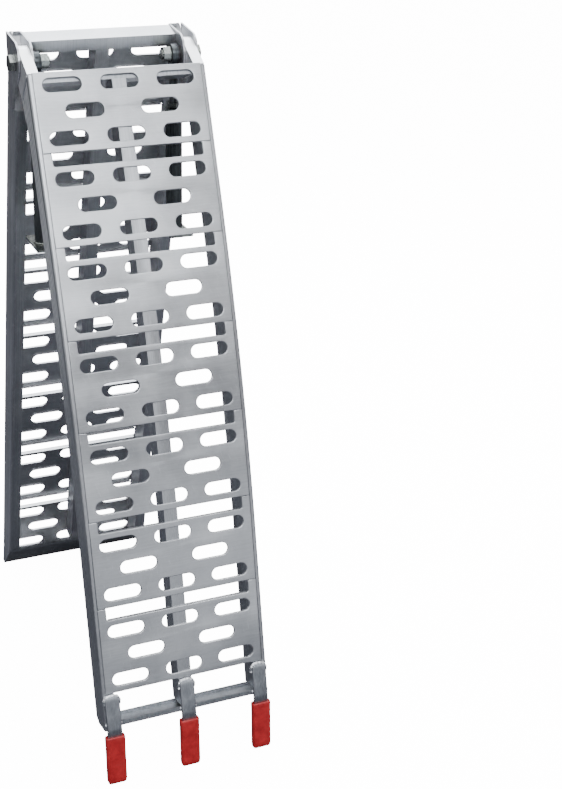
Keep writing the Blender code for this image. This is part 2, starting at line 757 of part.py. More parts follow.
def hinge_bolt(side, word):
    """Bolt with its head outside the outer cheek, pointing inwards."""
    head = HALF_W + GAP + CHEEK_T + GAP
    head_r = HEAD_FLATS / math.sqrt(3.0)
    # (x, radius, whether the section is a hexagon)
    profile = (
        (head + BOLT_HEAD_H, head_r - 1.4, True),
        (head + BOLT_HEAD_H - 1.0, head_r, True),
        (head, head_r, True),
        (head, BOLT_R, False),
        (BOLT_END_X + 1.0, BOLT_R, False),
        (BOLT_END_X, BOLT_R - 1.0, False),
    )
    bm = bmesh.new()
    rings = []
    for x, radius, hexagon in profile:
        ring = []
        for i in range(BORE_SIDES):
            angle = 2 * math.pi * i / BORE_SIDES
            r_here = hex_radius(radius, angle) if hexagon else radius
            ring.append(bm.verts.new(Vector((side * x, r_here * math.cos(angle),
                                             r_here * math.sin(angle))) * MM))
        rings.append(ring)
    for near, far in zip(rings, rings[1:]):
        skin(bm.faces.new, near, far)
    bm.faces.new(rings[0])
    bm.faces.new(rings[-1])
    add_object(f"hinge_bolt_{word}", bm, GROUND.empty, "zinc_bolt", BOLT_SMOOTH)


def hinge_nut(side, word):
    """Nut on the inner side of the leg eye."""
    start = LEG_X - EYE_HALF_W - NUT_GAP
    prism(f"hinge_nut_{word}", GROUND.empty, side * start, side * (start - NUT_L),
          NUT_FLATS / math.sqrt(3.0), BORE_R, 6, "zinc_bolt")


# ---- support legs ---------------------------------------------------------------------------
def eye_rod(x, word, leg):
    """Flat eye ring on the bolt, with the rod below it."""
    eye = prism(f"leg_eye_rod_{word}", leg, x - EYE_HALF_W, x + EYE_HALF_W, EYE_R, BORE_R,
                24, "zinc_steel")
    rod = prism(f"leg_rod_tool_{word}", leg, LEG_ROD_TOP, LEG_ROD_END, LEG_ROD_R, 0.0,
                20, "zinc_steel", leg_x=x)
    add_boolean(eye, rod, "rod", "UNION")


def foot_plate(x, word, leg):
    outline = rounded([(-FOOT_HALF_X, -FOOT_HALF_Y), (FOOT_HALF_X, -FOOT_HALF_Y),
                       (FOOT_HALF_X, FOOT_HALF_Y), (-FOOT_HALF_X, FOOT_HALF_Y)],
                      [FOOT_CORNER_R] * 4, steps=2)
    bm = bmesh.new()
    layers = [[bm.verts.new(Vector((x + px, py, -depth)) * MM) for px, py in outline]
              for depth in (FOOT_DEPTH - FOOT_T, FOOT_DEPTH)]
    for layer in layers:
        bm.faces.new(layer)
    skin(bm.faces.new, *layers)
    add_object(f"foot_plate_{word}", bm, leg, "zinc_steel")


def support_leg(side, word):
    leg = empty(f"leg_{word}_frame", ramp)
    leg.location = GROUND.empty.location
    x = side * LEG_X
    eye_rod(x, word, leg)
    for name, top, bottom, radius, bore_radius, sides, mat in LEG_PIECES:
        prism(f"{name}_{word}", leg, top, bottom, radius, bore_radius, sides, mat, leg_x=x)
    foot_plate(x, word, leg)


# ---- standing pose ----------------------------------------------------------------------------
def drop(reach, height, lean):
    """How far below the hinge axis a point of a half lies at this lean."""
    return reach * math.cos(lean) - height * math.sin(lean)


def standing_leans():
    """Leans that put the ground tip and the finger tips on one level, and
    the height of the hinge axis above it."""
    total = math.radians(OPEN_ANGLE)
    tips = [FINGER.place(SLEEVE_TIP, lift) for lift in (-SLEEVE_WALL, FINGER_T + SLEEVE_WALL)]
    low, high = 0.0, total
    for _ in range(60):
        hook_lean = (low + high) / 2.0
        ground_lean = total - hook_lean
        hook_drop = max(drop(*tip, hook_lean) for tip in tips)
        ground_drop = max(drop(GROUND_TIP, height, ground_lean)
                          for height in (DECK_H, DECK_H - TIP_FLAT))
        if hook_drop > ground_drop:
            low = hook_lean
        else:
            high = hook_lean
    return hook_lean, ground_lean, ground_drop


def stand_up():
    hook_lean, ground_lean, axis_height = standing_leans()
    for half, lean in ((GROUND, ground_lean), (HOOK, -hook_lean)):
        half.empty.location = (0.0, 0.0, axis_height * MM)
        half.empty.rotation_euler = (lean, 0.0, 0.0)


def centre_footprint():
    """Put the origin in the middle of the standing length."""
    bpy.context.view_layer.update()
    ys = [(ob.matrix_world @ v.co).y for ob in bpy.data.objects
          if ob.type == "MESH" and not ob.hide_render for v in ob.data.vertices]
    ramp.location.y = -(min(ys) + max(ys)) / 2.0
    bpy.context.view_layer.update()


# ---- build --------------------------------------------------------------------------------------
clear_scene()
ramp = empty("ramp_frame")
GROUND = Half("ground_half_frame", 1.0)
KINK_STATIONS = [HOOK_S0 + PITCH * k - PANEL_LEAD - JOINT_GAP / 2 for k in HOOK_KINKS]
kink_angle = math.radians(HOOK_BEND) / len(HOOK_KINKS)
HOOK = Half("hook_half_frame", -1.0, [(along, kink_angle) for along in KINK_STATIONS])
FINGER = FingerFrame(HOOK)
stand_up()

decks()
for side, word in SIDES:
    rails(side, word)
    rail_caps(side, word)
    hinge_cheeks(side, word)
    hinge_web(side, word)
    hinge_bracket(side, word)
cross_members()
ground_end_plate()
for x, word in FINGERS:
    finger(x, word)
    sleeve(x, word)
for side, word in SIDES:
    hinge_bolt(side, word)
    hinge_nut(side, word)
    support_leg(side, word)
centre_footprint()
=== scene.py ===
"""Two-part folding ramp standing as an inverted V, its fold axis along X at the top.

The hook half runs down and forward (-Y) to three fingers in red sleeves, and is arched;
the ground half runs down and backward (+Y). Two threaded legs hang from the fold axis.
Left is -X, right is +X. Lengths are in millimetres and are turned into metres by the
functions ending in _at. Along each half, x runs across, s down from the fold axis, and
e is the depth inward from the outer deck face.
"""
import json
import math
import random

import bpy
import bmesh
from mathutils import Matrix, Vector
from mathutils.geometry import tessellate_polygon


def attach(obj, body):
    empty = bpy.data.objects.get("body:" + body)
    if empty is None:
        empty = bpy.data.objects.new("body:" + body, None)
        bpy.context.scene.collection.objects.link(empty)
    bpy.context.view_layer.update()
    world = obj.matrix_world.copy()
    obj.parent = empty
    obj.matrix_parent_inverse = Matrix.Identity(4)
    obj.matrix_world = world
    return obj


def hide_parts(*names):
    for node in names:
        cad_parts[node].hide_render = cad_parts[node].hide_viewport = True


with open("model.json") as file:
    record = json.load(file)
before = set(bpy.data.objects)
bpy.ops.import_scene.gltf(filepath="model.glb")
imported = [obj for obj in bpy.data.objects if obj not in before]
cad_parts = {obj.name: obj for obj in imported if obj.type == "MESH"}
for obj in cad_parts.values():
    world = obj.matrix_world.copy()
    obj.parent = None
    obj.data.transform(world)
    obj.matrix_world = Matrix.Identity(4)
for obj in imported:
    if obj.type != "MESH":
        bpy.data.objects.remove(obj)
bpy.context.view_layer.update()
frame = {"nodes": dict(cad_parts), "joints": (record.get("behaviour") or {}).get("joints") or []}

MM = 0.001
rng = random.Random(11)

# ---- driving dimensions ----------------------------------------------------------
fold = next(joint for joint in frame["joints"] if joint["name"] == "fold")
AXIS = Vector(fold["pos_m"])
HOOK_LEAN = math.radians(22.897896)      # each half's angle from the vertical
GROUND_LEAN = math.radians(14.802104)
DECK_H = 58.0                            # deck face out from the fold axis

# window openings down each half
PITCH = 141.0
HOOK_S0, GROUND_S0 = 17.3, -13.7         # middle of the first opening
HOOK_PANELS, GROUND_PANELS = 7, 8
WINDOW_HW, WINDOW_HALF = 119.3, 9.4      # half-width across, half-height along s

# ends of the halves
HOOK_START = HOOK_S0 + WINDOW_HALF
HOOK_END = 1054.7
GROUND_START, GROUND_TIP = -24.5, 1123.5

# arch of the hook half
ARC_0, ARC_1 = 218.0, 782.0
ARC_TURN = math.radians(9.3)
ARC_CURVE = ARC_TURN / (ARC_1 - ARC_0)
ARC_STEPS = 30

# fingers
FINGER_KINK, FINGER_TURN = 1054.0, math.radians(9.0)
FINGER_BEND = 12.0                       # the turn blends in this far each side of the kink
FINGER_LIFT = 0.3
FINGER_HW, FINGER_THICK, FINGER_EDGE = 12.0, 6.0, 1.2
FINGERS = ((-125.0, "left"), (0.0, "centre"), (125.0, "right"))

# rail section
RAIL_IN, RAIL_OUT, RAIL_LEDGE, RAIL_DEPTH = 119.0, 140.0, 133.3, 50.0

LEG_X = 111.0
SIDES = ((-1, "left"), (1, "right"))


# ---- places on the frame -----------------------------------------------------------
def hook_station(s):
    """Distance down, height and turn of the arched deck line at s."""
    if s <= ARC_0:
        return s, DECK_H, 0.0
    turn = ARC_CURVE * (min(s, ARC_1) - ARC_0)
    down = ARC_0 + math.sin(turn) / ARC_CURVE
    height = DECK_H - (1.0 - math.cos(turn)) / ARC_CURVE
    if s > ARC_1:
        down += (s - ARC_1) * math.cos(turn)
        height -= (s - ARC_1) * math.sin(turn)
    return down, height, turn


def hook_plane_at(x, down, height):
    return AXIS + Vector((x, -down * math.sin(HOOK_LEAN) - height * math.cos(HOOK_LEAN),
                          -down * math.cos(HOOK_LEAN) + height * math.sin(HOOK_LEAN))) * MM


def hook_at(x, s, e):
    down, height, turn = hook_station(s)
    return hook_plane_at(x, down - e * math.sin(turn), height - e * math.cos(turn))


def ground_at(x, s, e):
    height = DECK_H - e
    return AXIS + Vector((x, s * math.sin(GROUND_LEAN) + height * math.cos(GROUND_LEAN),
                          -s * math.cos(GROUND_LEAN) + height * math.sin(GROUND_LEAN))) * MM


def finger_at(x, s, lift):
    """Place on a finger, lift measured outward from its deck-side face."""
    down, height, turn = hook_station(min(s, FINGER_KINK))
    down += FINGER_LIFT * math.sin(turn)
    height += FINGER_LIFT * math.cos(turn)
    past = s - FINGER_KINK
    if past > 0:
        down += past * math.cos(turn + FINGER_TURN)
        height -= past * math.sin(turn + FINGER_TURN)
    if past > -FINGER_BEND:
        turn += FINGER_TURN * min(1.0, (past + FINGER_BEND) / (2.0 * FINGER_BEND))
    return hook_plane_at(x, down + lift * math.sin(turn), height + lift * math.cos(turn))


def leg_at(x, y, down):
    return AXIS + Vector((x, y, -down)) * MM


PLACE = {"hook_half": hook_at, "ground_half": ground_at}


# ---- shader helpers ----------------------------------------------------------------
def new_material(name):
    material = bpy.data.materials.new(name)
    material.use_nodes = True
    tree = material.node_tree
    tree.nodes.clear()
    output = tree.nodes.new("ShaderNodeOutputMaterial")
    bsdf = tree.nodes.new("ShaderNodeBsdfPrincipled")
    tree.links.new(bsdf.outputs[0], output.inputs[0])
    return material, tree, bsdf


def coords(tree, turn=(0.0, 0.0, 0.0), scale=(1.0, 1.0, 1.0)):
    """Object coordinates, turned first and then scaled."""
    source = tree.nodes.new("ShaderNodeTexCoord")
    spin = tree.nodes.new("ShaderNodeMapping")
    spin.inputs["Rotation"].default_value = turn
    tree.links.new(source.outputs["Object"], spin.inputs["Vector"])
    size = tree.nodes.new("ShaderNodeMapping")
    size.inputs["Scale"].default_value = scale
    tree.links.new(spin.outputs[0], size.inputs["Vector"])
    return size.outputs[0]


def noise(tree, vector, scale, detail, rough):
    node = tree.nodes.new("ShaderNodeTexNoise")
    node.inputs["Scale"].default_value = scale
    node.inputs["Detail"].default_value = detail
    node.inputs["Roughness"].default_value = rough
    tree.links.new(vector, node.inputs["Vector"])
    return node.outputs["Fac"]


def ramp(tree, factor, stops):
    """Colour ramp from (position, colour) stops."""
    node = tree.nodes.new("ShaderNodeValToRGB")
    elements = node.color_ramp.elements
    elements[0].position, elements[1].position = stops[0][0], stops[-1][0]
    for position, _ in stops[1:-1]:
        elements.new(position)
    for element, (_, colour) in zip(elements, stops):
        element.color = (*colour, 1.0)
    tree.links.new(factor, node.inputs["Fac"])
    return node.outputs["Color"]


def maths(tree, operation, socket, other):
    """Math node on a socket and either a number or another socket."""
    node = tree.nodes.new("ShaderNodeMath")
    node.operation = operation
    tree.links.new(socket, node.inputs[0])
    if isinstance(other, (int, float)):
        node.inputs[1].default_value = other
    else:
        tree.links.new(other, node.inputs[1])
    return node.outputs[0]


def sway(tree, factor, swing, base):
    """base, moved up and down by a factor centred on 0.5."""
    centred = maths(tree, "SUBTRACT", factor, 0.5)
    return maths(tree, "ADD", maths(tree, "MULTIPLY", centred, swing), base)


def stain(tree, colour, mask, limits, amount, tint):
    """Lays a tint over the colour where the mask rises through the limits."""
    start, full = limits
    cover = ramp(tree, mask, [(start, (0, 0, 0)), (full, (1, 1, 1))])
    cover = maths(tree, "MULTIPLY", cover, amount)
    node = tree.nodes.new("ShaderNodeMix")
    node.data_type = "RGBA"
    tree.links.new(cover, node.inputs["Factor"])
    # inputs 6 and 7 and output 2 are the colour sockets
    tree.links.new(colour, node.inputs[6])
    node.inputs[7].default_value = (*tint, 1.0)
    return node.outputs[2]


def bump_surface(tree, bsdf, height, strength, distance):
    node = tree.nodes.new("ShaderNodeBump")
    node.inputs["Strength"].default_value = strength
    node.inputs["Distance"].default_value = distance
    tree.links.new(height, node.inputs["Height"])
    tree.links.new(node.outputs[0], bsdf.inputs["Normal"])


# ---- materials -----------------------------------------------------------------------
def metal(name, dark, light, rough, grain, bump, lean=0.0, smudge=0.10, drawn=0.55):
    """Mill-finish metal: drawn grain along one direction, cloudy haze, fine scratches.

    grain is the noise scale per axis, lean turns it to the half it lies on, smudge is how
    far the haze moves the roughness, and drawn is the grain's share of the colour.
    """
    material, tree, bsdf = new_material(name)
    turn = (lean, 0.0, 0.0)
    streak = noise(tree, coords(tree, turn, grain), scale=1.0, detail=6.0, rough=0.65)
    cloud = noise(tree, coords(tree, turn, (9.0, 9.0, 5.0)), scale=1.0, detail=5.0, rough=0.6)
    fleck = noise(tree, coords(tree, turn), scale=260.0, detail=3.0, rough=0.7)
    tone = maths(tree, "ADD", maths(tree, "MULTIPLY", streak, drawn),
                 maths(tree, "MULTIPLY", cloud, 1.0 - drawn))
    colour = ramp(tree, tone, [(0.36, dark), (0.62, light)])
    scratch = noise(tree, coords(tree, (lean, 0.7, 0.3), (70.0, 1400.0, 40.0)),
                    scale=1.0, detail=2.0, rough=0.5)
    colour = stain(tree, colour, scratch, limits=(0.66, 0.70), amount=0.22,
                   tint=tuple(min(1, c * 1.25) for c in light))
    dirt = noise(tree, coords(tree, turn, (22, 22, 14)), scale=1.0, detail=8.0, rough=0.72)
    colour = stain(tree, colour, dirt, limits=(0.60, 0.74), amount=0.16,
                   tint=tuple(c * 0.55 for c in dark))
    tree.links.new(colour, bsdf.inputs["Base Color"])
    bsdf.inputs["Metallic"].default_value = 1.0
    hazed = sway(tree, cloud, swing=2.0 * smudge, base=rough)
    tree.links.new(sway(tree, streak, swing=0.16, base=hazed), bsdf.inputs["Roughness"])
    bsdf.inputs["Anisotropic"].default_value = 0.35
    height = maths(tree, "ADD", streak, maths(tree, "MULTIPLY", fleck, 0.5))
    bump_surface(tree, bsdf, height, strength=bump, distance=0.0006)
    return material


def rubber():
    """Red dipped rubber, cloudy and slightly dusty."""
    material, tree, bsdf = new_material("red_dipped_rubber")
    cloud = noise(tree, coords(tree), scale=60.0, detail=5.0, rough=0.6)
    fine = noise(tree, coords(tree), scale=900.0, detail=3.0, rough=0.6)
    colour = ramp(tree, cloud, [(0.30, (0.36, 0.010, 0.012)), (0.70, (0.60, 0.026, 0.028))])
    dust = noise(tree, coords(tree), scale=24.0, detail=7.0, rough=0.7)
    colour = stain(tree, colour, dust, limits=(0.58, 0.75), amount=0.18,
                   tint=(0.55, 0.16, 0.14))
    tree.links.new(colour, bsdf.inputs["Base Color"])
    roughness = maths(tree, "ADD", maths(tree, "MULTIPLY", cloud, 0.18), 0.34)
    tree.links.new(roughness, bsdf.inputs["Roughness"])
    height = maths(tree, "ADD", fine, maths(tree, "MULTIPLY", cloud, 2.0))
    bump_surface(tree, bsdf, height, strength=0.18, distance=0.0004)
    bsdf.inputs["Coat Weight"].default_value = 0.25
    bsdf.inputs["Coat Roughness"].default_value = 0.25
    return material


SHEET_GRAIN = (30.0, 700.0, 500.0)
RAIL_GRAIN = (900.0, 900.0, 5.0)
PLATE_GRAIN = (60.0, 420.0, 420.0)

MATERIALS = {
    "deck_hook": metal("hook_deck_aluminium", dark=(0.50, 0.51, 0.53), light=(0.72, 0.73, 0.75),
                       rough=0.40, lean=HOOK_LEAN, grain=SHEET_GRAIN, bump=0.05,
                       smudge=0.14, drawn=0.28),
    "deck_ground": metal("ground_deck_aluminium", dark=(0.46, 0.47, 0.49),
                         light=(0.66, 0.67, 0.69), rough=0.42, lean=-GROUND_LEAN,
                         grain=SHEET_GRAIN, bump=0.05, smudge=0.14, drawn=0.28),
    "rail_hook": metal("hook_rail_aluminium", dark=(0.40, 0.41, 0.43), light=(0.60, 0.61, 0.63),
                       rough=0.38, lean=HOOK_LEAN, grain=RAIL_GRAIN, bump=0.14),
    "rail_ground": metal("ground_rail_aluminium", dark=(0.46, 0.47, 0.49),
                         light=(0.68, 0.69, 0.71), rough=0.40, lean=-GROUND_LEAN,
                         grain=RAIL_GRAIN, bump=0.14),
    "plate": metal("cut_plate_aluminium", dark=(0.52, 0.53, 0.55), light=(0.74, 0.75, 0.77),
                   rough=0.34, lean=HOOK_LEAN, grain=PLATE_GRAIN, bump=0.12),
    "weld": metal("weld_aluminium", dark=(0.74, 0.75, 0.78), light=(0.94, 0.95, 0.97),
                  rough=0.34, grain=(240.0, 240.0, 240.0), bump=0.35),
    # hinge brackets: the plate aluminium lightened almost to white, a painted highlight where they
    # face the light from above
    "bracket": metal("plate_aluminium_painted_highlight", dark=(0.93, 0.935, 0.95), light=(0.99, 0.99, 1.0),
                     rough=0.40, lean=HOOK_LEAN, grain=PLATE_GRAIN, bump=0.08),
    # darker copy of the plate aluminium; on the two crossbars under the deck this darkness is
    # painted shade
    "finger": metal("finger_and_painted_shade_aluminium", dark=(0.33, 0.345, 0.365),
                    light=(0.52, 0.54, 0.57), rough=0.36, lean=HOOK_LEAN,
                    grain=(420.0, 420.0, 60.0), bump=0.12),
    "zinc": metal("bright_zinc", dark=(0.15, 0.165, 0.16), light=(0.40, 0.415, 0.385),
                  rough=0.24, grain=(300.0, 300.0, 300.0), bump=0.10),
    # dark zinc-plated steel, its colour pushed darker still as painted shade so the eyes and tubes
    # do not show the lights' reflections
    "leg": metal("dark_zinc_steel_and_painted_shade", dark=(0.050, 0.057, 0.061), light=(0.150, 0.162, 0.170),
                 rough=0.40, grain=(500.0, 500.0, 9.0), bump=0.12),
    "red": rubber(),
}


# ---- mesh helpers ------------------------------------------------------------------
class Part:
    """Collects rings of vertices, placed in the world by a function, and their faces."""

    def __init__(self, place=None):
        self.place = place
        self.verts = []
        self.faces = []

    def world_ring(self, points):
        start = len(self.verts)
        self.verts += points
        return list(range(start, start + len(points)))

    def ring(self, points):
        return self.world_ring([self.place(*point) for point in points])

    def wall(self, ring, following):
        n = len(ring)
        for i in range(n):
            j = (i + 1) % n
            self.faces.append((ring[i], ring[j], following[j], following[i]))

    def loft(self, sections):
        """Adds a ring for each section, walls them together and returns the rings."""
        rings = [self.ring(points) for points in sections]
        for ring, following in zip(rings, rings[1:]):
            self.wall(ring, following)
        return rings

    def cap_ends(self, rings):
        self.faces += [tuple(rings[0][::-1]), tuple(rings[-1])]

    def sheet(self, loops, flip=False):
        """Fills a flat outline with holes; each loop is (ring, its flat points)."""
        flat = [[Vector((point[0], point[1], 0.0)) for point in points] for _, points in loops]
        index = [i for ring, _ in loops for i in ring]
        for corners in tessellate_polygon(flat):
            face = tuple(index[i] for i in corners)
            self.faces.append(face[::-1] if flip else face)

    def box(self, x0, x1, s0, s1, e0, e1, edge=0.6):
        """Straight bar across the ramp, with broken edges."""
        full = [(s0 + edge, e0), (s1 - edge, e0), (s1, e0 + edge), (s1, e1 - edge),
                (s1 - edge, e1), (s0 + edge, e1), (s0, e1 - edge), (s0, e0 + edge)]
        inset = edge * 0.7
        small = [(min(max(s, s0 + inset), s1 - inset), min(max(e, e0 + inset), e1 - inset))
                 for s, e in full]
        stations = ((x0, small), (x0 + edge, full), (x1 - edge, full), (x1, small))
        self.cap_ends(self.loft([[(x, s, e) for s, e in profile] for x, profile in stations]))

    def build(self, name, material, body, replaces=None, angle=40.0,
              weighted=False):
        """Makes the object; edges sharper than angle (degrees) stay sharp."""
        mesh = bpy.data.meshes.new(name)
        mesh.from_pydata([tuple(vert) for vert in self.verts], [], self.faces)
        bm = bmesh.new()
        bm.from_mesh(mesh)
        bmesh.ops.remove_doubles(bm, verts=bm.verts[:], dist=0.000002)
        bmesh.ops.recalc_face_normals(bm, faces=bm.faces[:])
        bm.to_mesh(mesh)
        bm.free()
        mesh.shade_smooth()
        mesh.set_sharp_from_angle(angle=math.radians(angle))
        ob = bpy.data.objects.new(name, mesh)
        bpy.context.scene.collection.objects.link(ob)
        mesh.materials.append(MATERIALS[material])
        if weighted:
            shading = ob.modifiers.new("even_shading", "WEIGHTED_NORMAL")
            shading.keep_sharp = True
            shading.weight = 60
        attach(ob, body)
        if replaces:
            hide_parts(replaces)


def offset_loop(loop, inset):
    """Moves every edge of a closed counter-clockwise loop inwards."""
    moved = []
    n = len(loop)
    for i in range(n):
        before, here, after = Vector(loop[i - 1]), Vector(loop[i]), Vector(loop[(i + 1) % n])
        edge_in, edge_out = (here - before).normalized(), (after - here).normalized()
        normal_in = Vector((-edge_in.y, edge_in.x))
        normal_out = Vector((-edge_out.y, edge_out.x))
        spread = 1.0 + normal_in.dot(normal_out)
        moved.append(tuple(here + (normal_in + normal_out) * (inset / max(spread, 0.2))))
    return moved


def counter_clockwise(loop):
    area = sum(loop[i - 1][0] * loop[i][1] - loop[i][0] * loop[i - 1][1]
               for i in range(len(loop)))
    return loop if area > 0 else loop[::-1]


def circle(radius, count):
    return [(radius * math.cos(2 * math.pi * i / count), radius * math.sin(2 * math.pi * i / count))
            for i in range(count)]


def rounded_rect(half_width, low, high, radius, steps):
    points = []
    for x, y, start in ((half_width - radius, low + radius, -90),
                        (half_width - radius, high - radius, 0),
                        (-half_width + radius, high - radius, 90),
                        (-half_width + radius, low + radius, 180)):
        for i in range(steps + 1):
            a = math.radians(start + 90.0 * i / steps)
            points.append((x + radius * math.cos(a), y + radius * math.sin(a)))
    return points


# ---- deck panels: punched sheet with pressed slot rims and folded lips -----------------
PANEL_HW = 133.0
PANEL_LEAD = 10.6                        # panel's upper edge above its opening's middle
PANEL_GAP = 0.4
SHEET = 2.5                              # thickness
TIP_SETBACK = 3.3                        # last ground panel short of the tip
NOTCH_CORNER = 3.0
SIDE_STEP = 24.0                         # least spacing of extra points down the long sides
SLOT_L, SLOT_W, SLOT_STEPS = 60.0, 21.0, 10
ROW_3 = (-89.4, 0.0, 89.4)
ROW_2 = (-59.5, 59.5)
ROWS = ((29.4, ROW_3), (69.5, ROW_2), (109.4, ROW_3))  # s below the opening's middle, slot x
RIM_DEPTH = 4.4                          # pressed rims; the slots at x = 0 are only punched
# edge profiles: (inset of the loop, depth)
SHEET_EDGE = [(1.1, 0.0), (0.5, 0.15), (0.12, 0.5), (0.0, 1.1), (0.0, SHEET)]
SLOT_EDGE = [(-1.3, 0.0), (-0.62, 0.16), (-0.18, 0.55), (0.0, 1.2)]
PUNCHED_EDGE = SLOT_EDGE + [(0.0, SHEET)]
PRESSED_EDGE = SLOT_EDGE + [(0.0, RIM_DEPTH), (-1.5, RIM_DEPTH), (-1.7, SHEET)]
LIP_SPANS = ((-116.5, -12.5), (12.5, 116.5))
LIP_NEAR, LIP_FAR = 0.05, 2.3            # lip faces, from the panel's edge
LIP_TOP, LIP_BOTTOM = 1.2, 9.0           # depths


def slot_loop(x, s):
    points = []
    radius = SLOT_W / 2.0
    half = SLOT_L / 2.0 - radius
    for side, start in ((1, -90.0), (-1, 90.0)):
        for i in range(SLOT_STEPS + 1):
            a = math.radians(start + 180.0 * i / SLOT_STEPS)
            points.append((x + side * half + radius * math.cos(a), s + radius * math.sin(a)))
    return counter_clockwise(points)


def densify_sides(loop):
    """Adds points down the long sides so that the sheet can follow the arch."""
    dense = []
    for i, (x, s) in enumerate(loop):
        next_x, next_s = loop[(i + 1) % len(loop)]
        dense.append((x, s))
        if abs(x - next_x) < 1e-6 and abs(abs(x) - PANEL_HW) < 1e-6:
            n = int(abs(next_s - s) // SIDE_STEP)
            dense += [(x, s + (next_s - s) * (k + 1) / (n + 1)) for k in range(n)]
    return dense


def sheet_edge(part, loop, profile):
    """Walls an edge; returns its upper and lower (ring, points)."""
    loops = [offset_loop(loop, inset) for inset, _ in profile]
    rings = part.loft([[(x, s, depth) for x, s in points]
                       for points, (_, depth) in zip(loops, profile)])
    return (rings[0], loops[0]), (rings[-1], loops[-1])


def notched_top(opening):
    """Upper edge of a panel, notched by the window opening."""
    top, notch = opening - PANEL_LEAD, opening + WINDOW_HALF
    side, corner = WINDOW_HW, NOTCH_CORNER
    return [(-PANEL_HW, top), (-side - corner, top), (-side - 0.8, top + 0.8),
            (-side, top + corner), (-side, notch - corner), (-side + 0.9, notch - 0.9),
            (-side + corner, notch), (side - corner, notch), (side - 0.9, notch - 0.9),
            (side, notch - corner), (side, top + corner), (side + 0.8, top + 0.8),
            (side + corner, top), (PANEL_HW, top)]


def deck_panel(half, number, opening, straight_start=None, tip=None):
    """One panel; straight_start replaces the notched top, tip the lipped lower edge."""
    body, node = f"{half}_half", f"{half}_deck_panel_{number}"
    part = Part(PLACE[body])
    if straight_start is None:
        outline = notched_top(opening)
    else:
        outline = [(-PANEL_HW, straight_start), (PANEL_HW, straight_start)]
    bottom = opening + PITCH - (PANEL_LEAD + PANEL_GAP) if tip is None else tip
    outline += [(PANEL_HW, bottom), (-PANEL_HW, bottom)]
    outline = counter_clockwise(densify_sides(outline))
    edges = [sheet_edge(part, outline, SHEET_EDGE)]
    for below, row in ROWS:
        for x in row:
            profile = PUNCHED_EDGE if x == 0.0 else PRESSED_EDGE
            edges.append(sheet_edge(part, slot_loop(x, opening + below), profile))
    part.sheet([upper for upper, _ in edges])
    part.sheet([lower for _, lower in edges], flip=True)
    notch = opening + WINDOW_HALF
    for x0, x1 in LIP_SPANS:
        if straight_start is None:
            part.box(x0, x1, notch + LIP_NEAR, notch + LIP_FAR, LIP_TOP, LIP_BOTTOM)
        if tip is None:
            part.box(x0, x1, bottom - LIP_FAR, bottom - LIP_NEAR, LIP_TOP, LIP_BOTTOM)
    part.build("panel_" + node, f"deck_{half}", body, replaces=node, angle=50.0, weighted=True)


for k in range(HOOK_PANELS):
    deck_panel("hook", k + 1, HOOK_S0 + PITCH * k, straight_start=HOOK_START if k == 0 else None)
for k in range(GROUND_PANELS):
    deck_panel("ground", k + 1, GROUND_S0 + PITCH * k,
               tip=GROUND_TIP - TIP_SETBACK if k == GROUND_PANELS - 1 else None)

# ---- rails of the arched half, swept smoothly ----------------------------------------
RAIL_ROUND, RAIL_INNER_ROUND = 3.0, 1.5
GROOVES = (14.0, 22.5, 31.0, 39.5)       # depths of the groove middles
# groove section: (inset from the rail's outer side, depth from the groove's middle)
GROOVE = ((0.0, -1.7), (0.25, -1.35), (0.85, -0.8), (1.0, 0.0),
          (0.85, 0.8), (0.25, 1.35), (0.0, 1.7))
CUT_SLOPE = 0.58                         # s per depth along the cut upper end
CUT_PLATE = 2.8                          # closing plate on the cut end
CUT_BACK = 0.4
TAIL_DEPTH, TAIL_SLOPE = 37.0, 0.85      # lower end slopes back beyond this depth
PLUG_NEAR, PLUG_FAR = 1.2, 3.6           # plug faces inside the lower end
RAIL_STATIONS = ([100.0, 160.0]
                 + [ARC_0 + (ARC_1 - ARC_0) * i / ARC_STEPS for i in range(ARC_STEPS + 1)]
                 + [900.0, 1000.0])


def rail_profile(side):
    """Outer and hollow (x, e) outlines of the rail section."""
    outer = [(RAIL_IN, 3.6), (RAIL_IN + 0.25, 3.05), (RAIL_IN + 0.8, 2.8), (RAIL_LEDGE, 2.8),
             (RAIL_LEDGE, 0.5), (RAIL_LEDGE + 0.5, 0.0)]
    corner_x = RAIL_OUT - RAIL_ROUND
    quarter = [math.radians(15.0 * i) for i in range(7)]
    outer += [(corner_x + RAIL_ROUND * math.sin(a), RAIL_ROUND - RAIL_ROUND * math.cos(a))
              for a in quarter]
    outer += [(RAIL_OUT - inset, middle + depth) for middle in GROOVES for inset, depth in GROOVE]
    outer += [(corner_x + RAIL_ROUND * math.cos(a),
               RAIL_DEPTH - RAIL_ROUND + RAIL_ROUND * math.sin(a)) for a in quarter]
    for i in range(4):
        a = math.radians(30.0 * i)
        outer.append((RAIL_IN + RAIL_INNER_ROUND - RAIL_INNER_ROUND * math.sin(a),
                      RAIL_DEPTH - RAIL_INNER_ROUND + RAIL_INNER_ROUND * math.cos(a)))
    hollow_in, hollow_out = RAIL_IN + 2.2, RAIL_OUT - 2.8
    hollow = [(hollow_in, 5.0), (hollow_out, 5.0), (hollow_out, 47.8), (hollow_in, 47.8)]
    return [(side * x, e) for x, e in outer], [(side * x, e) for x, e in hollow]


def hook_cut(e):
    return HOOK_START - CUT_BACK + CUT_PLATE * math.hypot(1.0, CUT_SLOPE) + e * CUT_SLOPE


def hook_tail(e):
    return HOOK_END - max(0.0, e - TAIL_DEPTH) * TAIL_SLOPE


def rail_sections(profile):
    return ([[(x, hook_cut(e), e) for x, e in profile]]
            + [[(x, s, e) for x, e in profile] for s in RAIL_STATIONS]
            + [[(x, hook_tail(e), e) for x, e in profile]])


